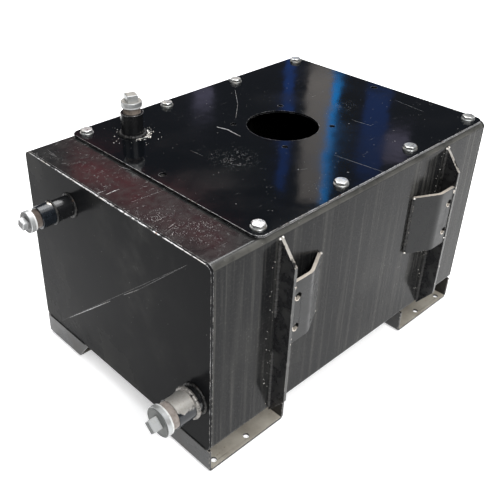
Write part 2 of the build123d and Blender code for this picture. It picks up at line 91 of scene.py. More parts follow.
# ------------------------------------------------------------------ node-tree helpers
class Tree:
    """Short calls for building one material's nodes."""

    def __init__(self, name):
        self.material = bpy.data.materials.new(name)
        self.material.use_nodes = True
        self.nodes = self.material.node_tree.nodes
        self.links = self.material.node_tree.links
        self.shader = self.nodes["Principled BSDF"]
        self.place = self.nodes.new("ShaderNodeTexCoord").outputs["Object"]

    def link(self, source, target):
        self.links.new(source, target)

    def set(self, socket, value):
        """Link a socket, or give it a constant."""
        if isinstance(value, bpy.types.NodeSocket):
            self.links.new(value, socket)
        else:
            socket.default_value = value

    def math(self, operation, a, b=0.0, clamp=False):
        node = self.nodes.new("ShaderNodeMath")
        node.operation = operation
        node.use_clamp = clamp
        self.set(node.inputs[0], a)
        self.set(node.inputs[1], b)
        return node.outputs[0]

    def vector(self, operation, a, b=(0.0, 0.0, 0.0)):
        node = self.nodes.new("ShaderNodeVectorMath")
        node.operation = operation
        self.set(node.inputs[0], a)
        self.set(node.inputs[1], b)
        if operation in ("DOT_PRODUCT", "LENGTH", "DISTANCE"):
            return node.outputs["Value"]
        return node.outputs["Vector"]

    def stretch(self, scale):
        """The object's coordinates, scaled differently along each axis."""
        return self.vector("MULTIPLY", self.place, scale)

    def noise(self, scale, detail=3.0, rough=0.5, place=None, warp=0.0):
        """Noise between 0 and 1; scale is in cycles per metre."""
        node = self.nodes.new("ShaderNodeTexNoise")
        self.set(node.inputs["Vector"], place or self.place)
        node.inputs["Scale"].default_value = scale
        node.inputs["Detail"].default_value = detail
        node.inputs["Roughness"].default_value = rough
        node.inputs["Distortion"].default_value = warp
        return node.outputs[0]

    def dots(self, scale, size):
        """1 on small round spots scattered at random, 0 elsewhere."""
        node = self.nodes.new("ShaderNodeTexVoronoi")
        self.link(self.place, node.inputs["Vector"])
        node.inputs["Scale"].default_value = scale
        return self.ramp(node.outputs["Distance"], size, 0.6 * size)

    def ramp(self, value, low, high, out_low=0.0, out_high=1.0):
        """Map low..high to out_low..out_high, smoothly and clamped."""
        node = self.nodes.new("ShaderNodeMapRange")
        node.interpolation_type = "SMOOTHSTEP"
        self.set(node.inputs["Value"], value)
        node.inputs["From Min"].default_value = low
        node.inputs["From Max"].default_value = high
        node.inputs["To Min"].default_value = out_low
        node.inputs["To Max"].default_value = out_high
        return node.outputs["Result"]

    def mix(self, factor, a, b):
        node = self.nodes.new("ShaderNodeMix")
        node.data_type = "RGBA"
        self.set(node.inputs[0], factor)
        self.set(node.inputs[6], a)
        self.set(node.inputs[7], b)
        return node.outputs[2]

    def blend(self, factor, a, b):
        node = self.nodes.new("ShaderNodeMix")
        node.data_type = "FLOAT"
        self.set(node.inputs[0], factor)
        self.set(node.inputs[2], a)
        self.set(node.inputs[3], b)
        return node.outputs[0]

    def axis(self, index, source=None):
        node = self.nodes.new("ShaderNodeSeparateXYZ")
        self.set(node.inputs[0], source or self.place)
        return node.outputs[index]

    def normal(self, index):
        node = self.nodes.new("ShaderNodeNewGeometry")
        return self.axis(index, node.outputs["Normal"])

    def edges(self, radius):
        """1 on sharp edges, 0 on flats."""
        bevel = self.nodes.new("ShaderNodeBevel")
        bevel.samples = 4
        bevel.inputs["Radius"].default_value = radius
        flat = self.nodes.new("ShaderNodeNewGeometry").outputs["Normal"]
        same = self.vector("DOT_PRODUCT", bevel.outputs[0], flat)
        return self.ramp(same, 0.999, 0.90)

    def bump(self, height, strength, distance, after=None):
        node = self.nodes.new("ShaderNodeBump")
        node.inputs["Strength"].default_value = strength
        node.inputs["Distance"].default_value = distance
        self.set(node.inputs["Height"], height)
        if after is not None:
            self.link(after, node.inputs["Normal"])
        return node.outputs[0]

    def scratch(self, start, end, width):
        """1 on a thin tapered line between two points, 0 elsewhere."""
        a = Vector(start)
        b = Vector(end)
        along = b - a
        length = along.length
        offset = self.vector("SUBTRACT", self.place, tuple(a))
        t = self.vector("DOT_PRODUCT", offset, tuple(along / length / length))
        t = self.math("MINIMUM", self.math("MAXIMUM", t, 0.0), 1.0)
        scaled = self.nodes.new("ShaderNodeVectorMath")
        scaled.operation = "SCALE"
        scaled.inputs[0].default_value = tuple(along)
        self.link(t, scaled.inputs["Scale"])
        gap = self.vector("LENGTH", self.vector("SUBTRACT", offset, scaled.outputs[0]))
        taper = self.math("SUBTRACT", 1.0, self.math("ABSOLUTE", self.math("SUBTRACT", t, 0.5)))
        reach = self.math("MULTIPLY", taper, width)
        return self.ramp(self.math("DIVIDE", gap, reach), 1.0, 0.4)

    def finish(self, color, roughness, metallic=0.0, normal=None):
        self.set(self.shader.inputs["Base Color"], color)
        self.set(self.shader.inputs["Roughness"], roughness)
        self.set(self.shader.inputs["Metallic"], metallic)
        if normal is not None:
            self.link(normal, self.shader.inputs["Normal"])
        return self.material


# ------------------------------------------------------------------ colours
BLACK = (0.0085, 0.0088, 0.0095, 1.0)
LID_BLACK = (0.0026, 0.0032, 0.0042, 1.0)
# Dust colour, also used to paint the shell's bends paler as a painted reflection.
DUST_AND_SHEEN = (0.090, 0.088, 0.080, 1.0)
STEEL = (0.70, 0.70, 0.71, 1.0)
# Pale unpainted steel: chips, and on the gussets also a painted highlight on upward faces.
RAW_EDGE_AND_HIGHLIGHT = (0.62, 0.57, 0.50, 1.0)
TARNISHED = (0.60, 0.57, 0.53, 1.0)
SCUFFED = (0.30, 0.30, 0.29, 1.0)
RUST = (0.23, 0.085, 0.03, 1.0)

# How strongly clean gloss paint mirrors its surroundings; the walls are duller.
GLOSSY = 0.42

# ------------------------------------------------------------------ marks on the paint
# All in millimetres. A scratch is (start, end, half width) and a patch of small specks is
# (centre, reach, strength). Places are X, Y on the lid and the deck's strip, and Y, Z on the
# front end.
LID_SCRATCHES = (
    ((-38, 63), (-32, 43), 1.50),
    ((-33, 46), (-35, 16), 1.10),
    ((89, 153), (49, 106), 0.50),
    ((49, 106), (7, 68), 0.50),
    ((20, -119), (30, -201), 0.35),
    ((-122, 31), (-121, 5), 0.20),
    ((-51, -116), (-39, -121), 0.15),
    ((137, -60), (142, -95), 0.40),
    ((255, -57), (248, -118), 0.30),
)
STRIP_SCRATCHES = (
    ((-292, 24), (-279, 23), 0.70),
    ((-284, 14), (-263, 14), 0.80),
    ((-270, 178), (-272, 149), 0.30),
    ((-274, 169), (-273, 153), 0.30),
    ((-276, -80), (-269, -82), 0.60),
    ((-275, -103), (-266, -101), 0.60),
    ((-284, -119), (-278, -115), 0.55),
    ((-272, -24), (-217, -28), 0.28),
    ((-224, 68), (-218, 46), 0.40),
)
LID_SPECKS = (
    ((-92, -30), 46, 0.75),
    ((-70, -165), 26, 0.35),
    ((175, -12), 36, 0.35),
)
STRIP_SPECKS = (
    ((-277, -80), 44, 1.0),
    ((-258, -125), 50, 0.85),
    ((-283, 25), 10, 0.55),
    ((-270, 160), 26, 0.35),
)
END_SCRATCHES = (
    ((129, 74), (9, 177), 0.70),
    ((-26, 208), (-60, 236), 0.50),
    ((-60, 236), (-159, 328), 0.22),
    ((157, 50), (-159, 328), 0.16),
)


def on_lid(x, y):
    """A mark's place on the lid's upper face, in the frame."""
    return (x * MM, y * MM, LID_Z)


def on_deck(x, y):
    """A mark's place on the deck's front strip."""
    return (x * MM, y * MM, DECK_Z)


def on_front_end(y, z):
    """A mark's place on the front end's outer face."""
    return (FRONT_X, y * MM, z * MM)


# ------------------------------------------------------------------ materials
def hair_lines(tree, patch, scuffs):
    """Fine lines left by wiping and sliding, in two directions."""
    lines_a = tree.noise(1.0, 2.0, place=tree.stretch((22.0, 900.0, 240.0)), warp=0.2)
    lines_b = tree.noise(1.0, 2.0, place=tree.stretch((900.0, 30.0, 18.0)), warp=0.2)
    hair = tree.math("MAXIMUM", tree.ramp(lines_a, 0.70, 0.78), tree.ramp(lines_b, 0.72, 0.80))
    hair = tree.math("MULTIPLY", hair, tree.ramp(patch, 0.50, 0.68))
    return tree.math("MULTIPLY", hair, scuffs)


# Runs down the walls: (waves per metre across, threshold, share of the streaks' strength).
RUNS = ((60.0, 0.50, 0.8), (21.0, 0.55, 0.7), (230.0, 0.52, 0.6))
RUN_LENGTH = 45.0           # how much longer than wide a run is


def wall_dirt_and_sheen(tree, dirt_and_sheen, tilt, top, patch, streaks):
    """Dirt on the bent shell: a film on the deck, runs and grit on the walls; paler bends, partly
    dust and partly a painted reflection.
    """
    film = tree.ramp(tree.noise(75.0, 5.0, 0.65), 0.30, 0.75, 0.02, 0.17)
    dirt_and_sheen = tree.blend(top, dirt_and_sheen, film)
    for across, low, share in RUNS:
        place = tree.stretch((across, across, across / RUN_LENGTH))
        run = tree.ramp(tree.noise(1.0, 3.0, place=place), low, low + 0.22)
        run = tree.math("MULTIPLY", run, tree.blend(top, streaks * share, 0.0))
        dirt_and_sheen = tree.math("ADD", dirt_and_sheen, run)
    grit = tree.ramp(tree.noise(260.0, 4.0, 0.7), 0.50, 0.72)
    grit = tree.math("MULTIPLY", grit, tree.blend(top, 0.25, 0.05))
    dirt_and_sheen = tree.math("ADD", dirt_and_sheen, grit)
    # Painted reflection: the rounded bends between deck and walls are painted paler, partly dust
    # and partly the light they catch.
    bend_dust_and_sheen = tree.math("MULTIPLY", tree.ramp(tilt, 0.06, 0.30), tree.ramp(tilt, 0.99, 0.85))
    bend_dust_and_sheen = tree.math("MULTIPLY", bend_dust_and_sheen, tree.ramp(patch, 0.25, 0.60, 0.45, 0.95))
    return tree.math("MAXIMUM", dirt_and_sheen, bend_dust_and_sheen)


def deck_smudges(tree, top):
    """Pale rubbed smudges on the deck's strip."""
    smudge = tree.ramp(tree.noise(170.0, 5.0, 0.72), 0.565, 0.67)
    smudge = tree.math("MULTIPLY", smudge, tree.ramp(tree.noise(28.0, 3.0), 0.42, 0.60))
    return tree.math("MULTIPLY", smudge, tree.blend(top, 0.0, 0.60))


# Half width, in millimetres, below which a scratch gets fainter instead of thinner.
THINNEST_LINE = 0.45


def bare_marks(tree, fine, patch, surface, scratches, worn_lines, spots, wear, scuffs):
    """1 where the paint is through to metal: chips, specks, scratches and worn edges."""
    specks = tree.ramp(tree.noise(330.0, 1.0), 0.765, 0.80)
    specks = tree.math("MULTIPLY", specks, tree.ramp(patch, 0.45, 0.62))
    chip = tree.ramp(tree.noise(110.0, 4.0, 0.65), 0.60 - 0.22 * wear, 0.68)
    chip = tree.math("MULTIPLY", tree.edges(0.9 * MM), chip)
    specks = tree.math("MULTIPLY", specks, 0.7 * scuffs)
    bare = tree.math("MAXIMUM", chip, specks, clamp=True)
    for start, end, width in scratches:
        line = tree.scratch(surface(*start), surface(*end), max(width, THINNEST_LINE) * MM)
        faint = tree.math("MULTIPLY", tree.ramp(fine, 0.30, 0.62), min(1.0, 1.25 * width))
        bare = tree.math("MAXIMUM", bare, tree.math("MULTIPLY", line, faint))
    if spots:
        dots = tree.math("MAXIMUM", tree.dots(560.0, 0.22), tree.dots(250.0, 0.13))
        clumps = tree.ramp(tree.noise(70.0, 5.0, 0.75), 0.47, 0.57)
        dots = tree.math("MULTIPLY", dots, clumps)
    for centre, reach, strength in spots:
        gap = tree.vector("DISTANCE", tree.place, surface(*centre))
        close = tree.ramp(gap, reach * MM, 0.2 * reach * MM, 0.0, strength)
        bare = tree.math("MAXIMUM", bare, tree.math("MULTIPLY", close, dots))
    if worn_lines:
        broken = tree.ramp(tree.noise(120.0, 6.0, 0.75), 0.44, 0.50)
    for start, end, width in worn_lines:
        line = tree.scratch(start, end, width * MM)
        bare = tree.math("MAXIMUM", bare, tree.math("MULTIPLY", line, broken))
    return bare


def paint(name, surface=None, scratches=(), worn_lines=(), spots=(), wear=0.5, dust=0.3,
          scuffs=0.4, streaks=0.0, level=0.5, gloss=(0.13, 0.26), black=BLACK):
    """Gloss black paint on sheet steel: faint waviness, dust, scuffs, chips along the edges."""
    tree = Tree(name)
    tree.shader.inputs["Specular IOR Level"].default_value = level
    fine = tree.noise(900.0, 2.0)
    cloud = tree.noise(9.0, 5.0, 0.6)
    patch = tree.noise(38.0, 4.0, 0.6)
    haze = tree.ramp(tree.noise(4.0, 4.0, 0.55), 0.35, 0.75)

    hair = hair_lines(tree, patch, scuffs)
    dirt_and_sheen = tree.math("MULTIPLY", tree.ramp(cloud, 0.40, 0.72), haze)
    dirt_and_sheen = tree.math("MULTIPLY", dirt_and_sheen, dust)
    if streaks:
        tilt = tree.normal(2)
        top = tree.ramp(tilt, 0.5, 0.9)
        dirt_and_sheen = wall_dirt_and_sheen(tree, dirt_and_sheen, tilt, top, patch, streaks)
        hair = tree.math("MAXIMUM", hair, deck_smudges(tree, top))
        mirror = tree.blend(top, level, GLOSSY)
        tree.link(mirror, tree.shader.inputs["Specular IOR Level"])
    bare = bare_marks(
        tree, fine, patch, surface, scratches, worn_lines, spots, wear, scuffs)

    base = tree.mix(dirt_and_sheen, black, DUST_AND_SHEEN)
    base = tree.mix(tree.math("MULTIPLY", hair, 0.55), base, SCUFFED)
    metal = tree.mix(tree.ramp(patch, 0.4, 0.7), STEEL, TARNISHED)
    metal = tree.mix(tree.ramp(tree.noise(160.0, 3.0), 0.64, 0.74), metal, RUST)
    color = tree.mix(bare, base, metal)

    rough = tree.ramp(cloud, 0.3, 0.7, *gloss)
    rough = tree.math("ADD", rough, tree.math("MULTIPLY", dirt_and_sheen, 0.35))
    rough = tree.math("ADD", rough, tree.math("MULTIPLY", hair, 0.25))
    rough = tree.blend(bare, rough, 0.42)
    metallic = tree.math("MULTIPLY", bare, 0.85)

    wavy = tree.bump(tree.noise(5.5, 2.0), 0.35, 1.6 * MM)
    wavy = tree.bump(tree.noise(17.0, 2.0), 0.5, 0.45 * MM, wavy)
    peel = tree.bump(tree.noise(420.0, 2.0), 0.10, 0.12 * MM, wavy)
    depth = tree.math("SUBTRACT", tree.math("MULTIPLY", fine, 0.06), bare)
    chipped = tree.bump(depth, 0.5, 0.12 * MM, peel)
    return tree.finish(color, rough, metallic, chipped)


def foot_material():
    """Black outside; the base's upper face is bare, dusty steel, painted pale also as a highlight
    of the light from above, and the flanges' insides brown.
    """
    tree = Tree("foot_paint")
    z = tree.axis(2)
    up = tree.ramp(tree.normal(2), 0.6, 0.85)
    low = tree.ramp(z, 6.0 * MM, 5.0 * MM)
    # Painted highlight: the base's upward face is painted pale, partly bare steel.
    bare = tree.math("MULTIPLY", up, low)
    grain = tree.noise(140.0, 5.0, 0.65)
    blotch = tree.noise(26.0, 4.0, 0.6)
    light_steel = (0.60, 0.56, 0.48, 1.0)
    dull_steel = (0.40, 0.36, 0.30, 1.0)
    pale = tree.mix(tree.ramp(blotch, 0.3, 0.75), light_steel, dull_steel)
    pale = tree.mix(tree.ramp(grain, 0.62, 0.75), pale, (0.24, 0.15, 0.09, 1.0))
    black = tree.mix(tree.ramp(blotch, 0.45, 0.8), BLACK, (0.045, 0.038, 0.030, 1.0))
    chip = tree.math("MULTIPLY", tree.edges(1.2 * MM), tree.ramp(grain, 0.46, 0.58))
    chip = tree.math("MULTIPLY", chip, tree.ramp(z, 6.0 * MM, 8.0 * MM))
    black = tree.mix(chip, black, RAW_EDGE_AND_HIGHLIGHT)
    color = tree.mix(bare, black, pale)
    rough = tree.blend(bare, tree.ramp(blotch, 0.3, 0.7, 0.22, 0.42), 0.55)
    bump = tree.bump(grain, 0.25, 0.25 * MM)
    return tree.finish(color, rough, tree.math("MULTIPLY", bare, 0.25), bump)


def gusset_material(name):
    """Black plate whose cut edges show: the sloping tops unpainted in patches, sawn metal and
    painted highlight of the light from above; the long edges half painted.
    """
    tree = Tree(name)
    side = tree.math("ABSOLUTE", tree.normal(0))
    edge = tree.ramp(side, 0.6, 0.4)
    up = tree.ramp(tree.normal(2), 0.15, 0.3)
    worn = tree.noise(60.0, 5.0, 0.6)
    grain = tree.noise(500.0, 3.0)
    dark = tree.mix(
        tree.ramp(worn, 0.4, 0.75), (0.010, 0.010, 0.011, 1.0), (0.032, 0.032, 0.031, 1.0))
    grey = tree.mix(
        tree.ramp(worn, 0.3, 0.7), (0.016, 0.016, 0.016, 1.0), (0.050, 0.050, 0.047, 1.0))
    raw_metal_and_highlight = tree.mix(tree.ramp(worn, 0.35, 0.7), RAW_EDGE_AND_HIGHLIGHT, (0.70, 0.68, 0.64, 1.0))
    # Painted highlight: the upward-facing sloping tops take the pale colour in patches, partly
    # sawn metal.
    half = tree.math("MULTIPLY", up, tree.ramp(worn, 0.40, 0.50))
    specks = tree.math("MULTIPLY", edge, tree.ramp(tree.noise(170.0, 2.0), 0.66, 0.72))
    bare = tree.math("MAXIMUM", half, specks)
    chip = tree.math("MULTIPLY", tree.edges(0.8 * MM), tree.ramp(worn, 0.50, 0.62))
    bare = tree.math("MAXIMUM", bare, tree.math("MULTIPLY", chip, 0.7))
    color = tree.mix(edge, dark, grey)
    color = tree.mix(bare, color, raw_metal_and_highlight)
    rough = tree.blend(bare, tree.ramp(worn, 0.3, 0.7, 0.20, 0.38), 0.45)
    bump = tree.bump(grain, 0.2, 0.15 * MM)
    return tree.finish(color, rough, tree.math("MULTIPLY", bare, 0.6), bump)


# The brackets' holes: from the gusset's side, and up or down from the bracket's middle.
HOLE_FROM_EDGE = 8.0 * MM
HOLE_FROM_MIDDLE = 25.0 * MM


def bracket_material():
    """Bent bracket: satin black faces; upward faces pale beige, sawn unpainted edge and painted
    highlight of the light from above; pale lower rims in the holes, bare metal and painted
    highlight.
    """
    tree = Tree("bracket_paint")
    # Painted highlight: all upward faces take the pale unpainted colour, partly standing in for
    # light from above.
    up = tree.ramp(tree.normal(2), 0.5, 0.8)
    worn = tree.noise(55.0, 4.0, 0.6)
    black = tree.mix(
        tree.ramp(worn, 0.35, 0.7), (0.006, 0.0065, 0.007, 1.0), (0.012, 0.0125, 0.0125, 1.0))
    raw_metal_and_highlight = tree.mix(tree.ramp(worn, 0.3, 0.7), (0.72, 0.66, 0.58, 1.0), (0.58, 0.52, 0.45, 1.0))
    chip = tree.ramp(tree.noise(150.0, 3.0), 0.50, 0.60)
    chip = tree.math("MULTIPLY", tree.edges(0.9 * MM), chip)
    bare = tree.math("MAXIMUM", up, chip)
    for node, x_sign in (("bracket_front", 1.0), ("bracket_rear", -1.0)):
        lo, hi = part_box(node)
        x = lo[0] + HOLE_FROM_EDGE if x_sign > 0 else hi[0] - HOLE_FROM_EDGE
        middle_z = (lo[2] + hi[2]) / 2
        for z in (middle_z - HOLE_FROM_MIDDLE, middle_z + HOLE_FROM_MIDDLE):
            # Painted highlight: the lower part of each hole's rim and its upward-facing inner wall
            # are painted pale, partly bare metal.
            offset = tree.vector("SUBTRACT", tree.place, (x, 0.0, z))
            flat = tree.vector("MULTIPLY", offset, (1.0, 0.0, 1.0))
            rim = tree.ramp(tree.vector("LENGTH", flat), 7.3 * MM, 6.7 * MM)
            below = tree.vector("DOT_PRODUCT", offset, (-0.75, 0.0, -0.66))
            low = tree.ramp(below, 2.4 * MM, 3.6 * MM)
            bare = tree.math("MAXIMUM", bare, tree.math("MULTIPLY", rim, low))
    color = tree.mix(bare, black, raw_metal_and_highlight)
    rough = tree.blend(bare, tree.ramp(worn, 0.3, 0.7, 0.24, 0.40), 0.5)
    bump = tree.bump(tree.noise(600.0, 3.0), 0.25, 0.15 * MM)
    tree.shader.inputs["Specular IOR Level"].default_value = 0.28
    return tree.finish(color, rough, tree.math("MULTIPLY", bare, 0.5), bump)


def zinc_material(name, tint=(0.66, 0.67, 0.66, 1.0), stain=(0.42, 0.39, 0.34, 1.0)):
    """Zinc plating: bright, a little cloudy, slightly pitted."""
    tree = Tree(name)
    cloud = tree.noise(120.0, 4.0, 0.6)
    pits = tree.noise(1400.0, 2.0)
    color = tree.mix(tree.ramp(cloud, 0.45, 0.75), tint, stain)
    rough = tree.ramp(cloud, 0.3, 0.7, 0.24, 0.44)
    bump = tree.bump(pits, 0.35, 0.10 * MM)
    return tree.finish(color, rough, 0.92, bump)


def plug_material(name, seal, axis, sign, thread_color, end_face_colour_and_shade):
    """A zinc head and collar, and a thread stained with old sealant; the head's outward end face
    has its own colour, on the return and suction plugs a painted shade.
    """
    tree = Tree(name)
    lo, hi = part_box(seal)
    edge = hi[axis] if sign > 0 else lo[axis]
    beyond = tree.math("MULTIPLY", tree.math("SUBTRACT", tree.axis(axis), edge), sign)
    head = tree.ramp(beyond, -0.4 * MM, 0.0)
    cloud = tree.noise(150.0, 4.0, 0.6)
    darker = tuple(0.55 * value for value in thread_color[:3]) + (1.0,)
    stained = tree.mix(tree.ramp(cloud, 0.40, 0.8), thread_color, darker)
    zinc = tree.mix(
        tree.ramp(cloud, 0.45, 0.80), (0.46, 0.47, 0.47, 1.0), (0.34, 0.335, 0.32, 1.0))
    # Painted shade: the outward end face of the head takes the darker end-face colour.
    outward = tree.ramp(tree.math("MULTIPLY", tree.normal(axis), sign), 0.75, 0.95)
    zinc = tree.mix(outward, zinc, end_face_colour_and_shade)
    color = tree.mix(head, stained, zinc)
    rough = tree.blend(head, 0.55, tree.ramp(cloud, 0.3, 0.7, 0.36, 0.46))
    metal = tree.blend(head, 0.25, 0.55)
    bump = tree.bump(tree.noise(1300.0, 2.0), 0.25, 0.06 * MM)
    return tree.finish(color, rough, metal, bump)


def socket_material(name, spot, reach, up_weight, tint):
    """Blue-black scale on a steel socket, worn through to bare metal round one spot, and paler on
    its upward faces by up_weight.
    """
    tree = Tree(name)
    wide = tree.noise(55.0, 4.0, 0.6)
    grain = tree.noise(420.0, 4.0, 0.6)
    far = tree.math("DIVIDE", tree.vector("DISTANCE", tree.place, tuple(spot)), reach * MM)
    # Paler towards the top: upward faces push the mix towards the pale metal colour.
    lift = tree.math("MULTIPLY", tree.normal(2), up_weight)
    amount = tree.math("ADD", tree.math("SUBTRACT", lift, far), tree.math("MULTIPLY", wide, 1.6))
    worn = tree.ramp(amount, -0.15, 0.10)
    scale = tree.mix(
        tree.ramp(grain, 0.3, 0.7), (0.006, 0.007, 0.009, 1.0), (0.014, 0.018, 0.024, 1.0))
    metal = tree.mix(tree.ramp(grain, 0.40, 0.85), tint, (0.40, 0.36, 0.31, 1.0))
    color = tree.mix(worn, scale, metal)
    rough = tree.blend(worn, 0.20, 0.40)
    bump = tree.bump(grain, 0.3, 0.12 * MM)
    return tree.finish(color, rough, tree.blend(worn, 0.15, 0.65), bump)


def weld_material(name, bright, rust, low=0.45, high=0.68):
    """Weld metal: grey to straw, with soot and rust between the ripples."""
    tree = Tree(name)
    grain = tree.noise(260.0, 4.0, 0.65)
    heat = tree.noise(70.0, 3.0, 0.6)
    dark = (0.012, 0.012, 0.012, 1.0)
    light = (bright, bright * 0.95, bright * 0.88, 1.0)
    color = tree.mix(tree.ramp(grain, low, high), dark, light)
    color = tree.mix(tree.ramp(heat, 0.66, 0.76), color, (rust, rust * 0.45, rust * 0.18, 1.0))
    rough = tree.ramp(grain, 0.3, 0.7, 0.26, 0.50)
    bump = tree.bump(grain, 0.5, 0.3 * MM)
    return tree.finish(color, rough, 0.5, bump)


def simple_metal(name, color, other, scale, low, high, metallic):
    """Mill-finish steel for the pieces inside the tank."""
    tree = Tree(name)
    cloud = tree.noise(scale, 4.0, 0.6)
    mixed = tree.mix(tree.ramp(cloud, 0.35, 0.7), color, other)
    rough = tree.ramp(cloud, 0.3, 0.7, low, high)
    bump = tree.bump(tree.noise(scale * 12.0, 3.0), 0.3, 0.12 * MM)
    return tree.finish(mixed, rough, metallic, bump)


def mesh_material():
    """Woven wire cloth: two sets of fine wires round and along the sleeve."""
    tree = Tree("wire_cloth")
    wires = []
    for direction in ("X", "Z"):
        wave = tree.nodes.new("ShaderNodeTexWave")
        wave.bands_direction = direction
        wave.inputs["Scale"].default_value = 420.0
        tree.link(tree.place, wave.inputs["Vector"])
        wires.append(wave.outputs["Fac"])
    weave = tree.math("MAXIMUM", wires[0], wires[1])
    color = tree.mix(weave, (0.10, 0.10, 0.09, 1.0), (0.62, 0.61, 0.57, 1.0))
    return tree.finish(color, tree.blend(weave, 0.6, 0.3), 0.9, tree.bump(weave, 0.8, 0.2 * MM))


def rubber_material():
    """Dusty black rubber sheet."""
    tree = Tree("nitrile_sheet")
    grain = tree.noise(700.0, 3.0)
    color = tree.mix(
        tree.ramp(grain, 0.3, 0.7), (0.016, 0.016, 0.016, 1.0), (0.055, 0.053, 0.050, 1.0))
    rough = tree.ramp(grain, 0.3, 0.7, 0.55, 0.75)
    return tree.finish(color, rough, 0.0, tree.bump(grain, 0.3, 0.1 * MM))


def seal_material():
    """Pale sealing ring, a little stained."""
    tree = Tree("sealing_ring")
    grain = tree.noise(240.0, 3.0)
    color = tree.mix(
        tree.ramp(grain, 0.5, 0.8), (0.68, 0.69, 0.68, 1.0), (0.46, 0.45, 0.42, 1.0))
    rough = tree.ramp(grain, 0.3, 0.7, 0.35, 0.5)
    return tree.finish(color, rough, 0.0, tree.bump(grain, 0.3, 0.1 * MM))


# ------------------------------------------------------------------ dressing the CAD nodes
# Widths of softly broken edges, in millimetres.
SHEET_EDGE = 0.35
PLATE_EDGE = 0.50
BOLT_EDGE = 0.25


def dress(node, material, bevel=0.0):
    """Give a CAD node its material and, where wanted, softly broken edges."""
    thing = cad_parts[node]
    thing.data.materials.clear()
    thing.data.materials.append(material)
    if bevel:
        weld = thing.modifiers.new("weld", "WELD")
        weld.merge_threshold = 0.02 * MM
        soft = thing.modifiers.new("broken_edges", "BEVEL")
        soft.width = bevel * MM
        soft.segments = 2
        soft.limit_method = "ANGLE"
        soft.angle_limit = math.radians(35)
        soft.harden_normals = False
        thing.data.shade_smooth()
        smooth = thing.modifiers.new("flat_faces", "WEIGHTED_NORMAL")
        smooth.keep_sharp = True


# ------------------------------------------------------------------ weld beads and spatter
# Beads, in millimetres: (radius, ripple pitch, whether the bead closes on itself).
PORT_BEADS = {
    "return": ((2.4, 3.2, True), (1.9, 3.0, True)),
    "suction": ((3.0, 3.2, True), (3.6, 3.0, True)),
}
FILLER_BEAD = (3.6, 4.0, True)
GUSSET_BEAD = (3.8, 4.4, False)
BRACKET_WALL_BEAD = (3.0, 3.8, False)
BRACKET_GUSSET_BEAD = (2.0, 3.4, False)
FOOT_BEAD = (1.5, 3.0, False)


def new_piece(name, mesh, material, body):
    """Add a finished mesh as a piece that moves with one body."""
    mesh.materials.append(material)
    thing = bpy.data.objects.new(name, mesh)
    bpy.context.scene.collection.objects.link(thing)
    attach(thing, body)
    return thing


def circle_path(centre, axis, radius, count=140):
    """Points round a circle about an axis."""
    axis = Vector(axis).normalized()
    side = axis.orthogonal().normalized()
    up = axis.cross(side)
    points = []
    for i in range(count):
        angle = math.radians(360.0 * i / count)
        points.append(Vector(centre) + radius * (math.cos(angle) * side + math.sin(angle) * up))
    return points


def line_path(start, end):
    """Points every 0.6 mm along a straight line."""
    a = Vector(start)
    b = Vector(end)
    count = max(8, int((b - a).length / (0.6 * MM)))
    return [a.lerp(b, i / count) for i in range(count + 1)]


def add_bead(bm, path, radius, pitch, closed):
    """A weld bead: a tube with overlapping ripples, its path and size slightly uneven."""
    around = 10
    rings = []
    travelled = 0.0
    wobble = random.random() * 10.0
    count = len(path)
    total = sum((path[i] - path[i - 1]).length for i in range(1, count))
    ripples = max(3, round(total / pitch))
    pitch = total / ripples
    for i, point in enumerate(path):
        ahead = path[(i + 1) % count] if closed or i < count - 1 else point
        behind = path[i - 1] if closed or i > 0 else point
        direction = (ahead - behind).normalized()
        side = direction.orthogonal().normalized()
        up = direction.cross(side)
        if i > 0:
            travelled += (point - path[i - 1]).length
        phase = (travelled / pitch) % 1.0
        unevenness = 0.07 * math.sin(3.1 * travelled / pitch + wobble)
        size = radius * (0.80 + 0.20 * math.sqrt(phase) + unevenness)
        if not closed:
            end_gap = min(travelled, total - travelled)
            size *= min(1.0, 0.35 + end_gap / (2.0 * radius))
        ring = []
        for j in range(around):
            angle = 2 * math.pi * j / around
            outward = math.cos(angle) * side + math.sin(angle) * up
            ring.append(bm.verts.new(point + size * outward))
        rings.append(ring)
    last = count if closed else count - 1
    for i in range(last):
        here = rings[i]
        there = rings[(i + 1) % count]
        shift = 0
        if closed and i == count - 1:
            shift = min(range(around), key=lambda k: (here[0].co - there[k].co).length)
        for j in range(around):
            bm.faces.new((
                here[j], here[(j + 1) % around],
                there[(j + 1 + shift) % around], there[(j + shift) % around]))
    if not closed:
        bm.faces.new(list(reversed(rings[0])))
        bm.faces.new(rings[-1])


def bead_piece(name, beads, material, body):
    """One piece made of several beads: each is (path, radius mm, ripple pitch mm, closed)."""
    bm = bmesh.new()
    for path, radius, pitch, closed in beads:
        add_bead(bm, path, radius * MM, pitch * MM, closed)
    bmesh.ops.recalc_face_normals(bm, faces=bm.faces)
    mesh = bpy.data.meshes.new(name)
    bm.to_mesh(mesh)
    bm.free()
    mesh.shade_smooth()
    return new_piece(name, mesh, material, body)


def spatter_piece(name, spots, material, body):
    """Small solidified droplets: each spot is (centre, radius mm)."""
    bm = bmesh.new()
    for centre, radius in spots:
        made = bmesh.ops.create_icosphere(bm, subdivisions=2, radius=radius * MM)
        squash = Matrix.Diagonal((1.0, 0.8 + 0.4 * random.random(), 0.75, 1.0))
        place = Matrix.Translation(centre) @ squash
        for vert in made["verts"]:
            vert.co = place @ (vert.co * (1.0 + 0.12 * (random.random() - 0.5)))
    mesh = bpy.data.meshes.new(name)
    bm.to_mesh(mesh)
    bm.free()
    mesh.shade_smooth()
    return new_piece(name, mesh, material, body)


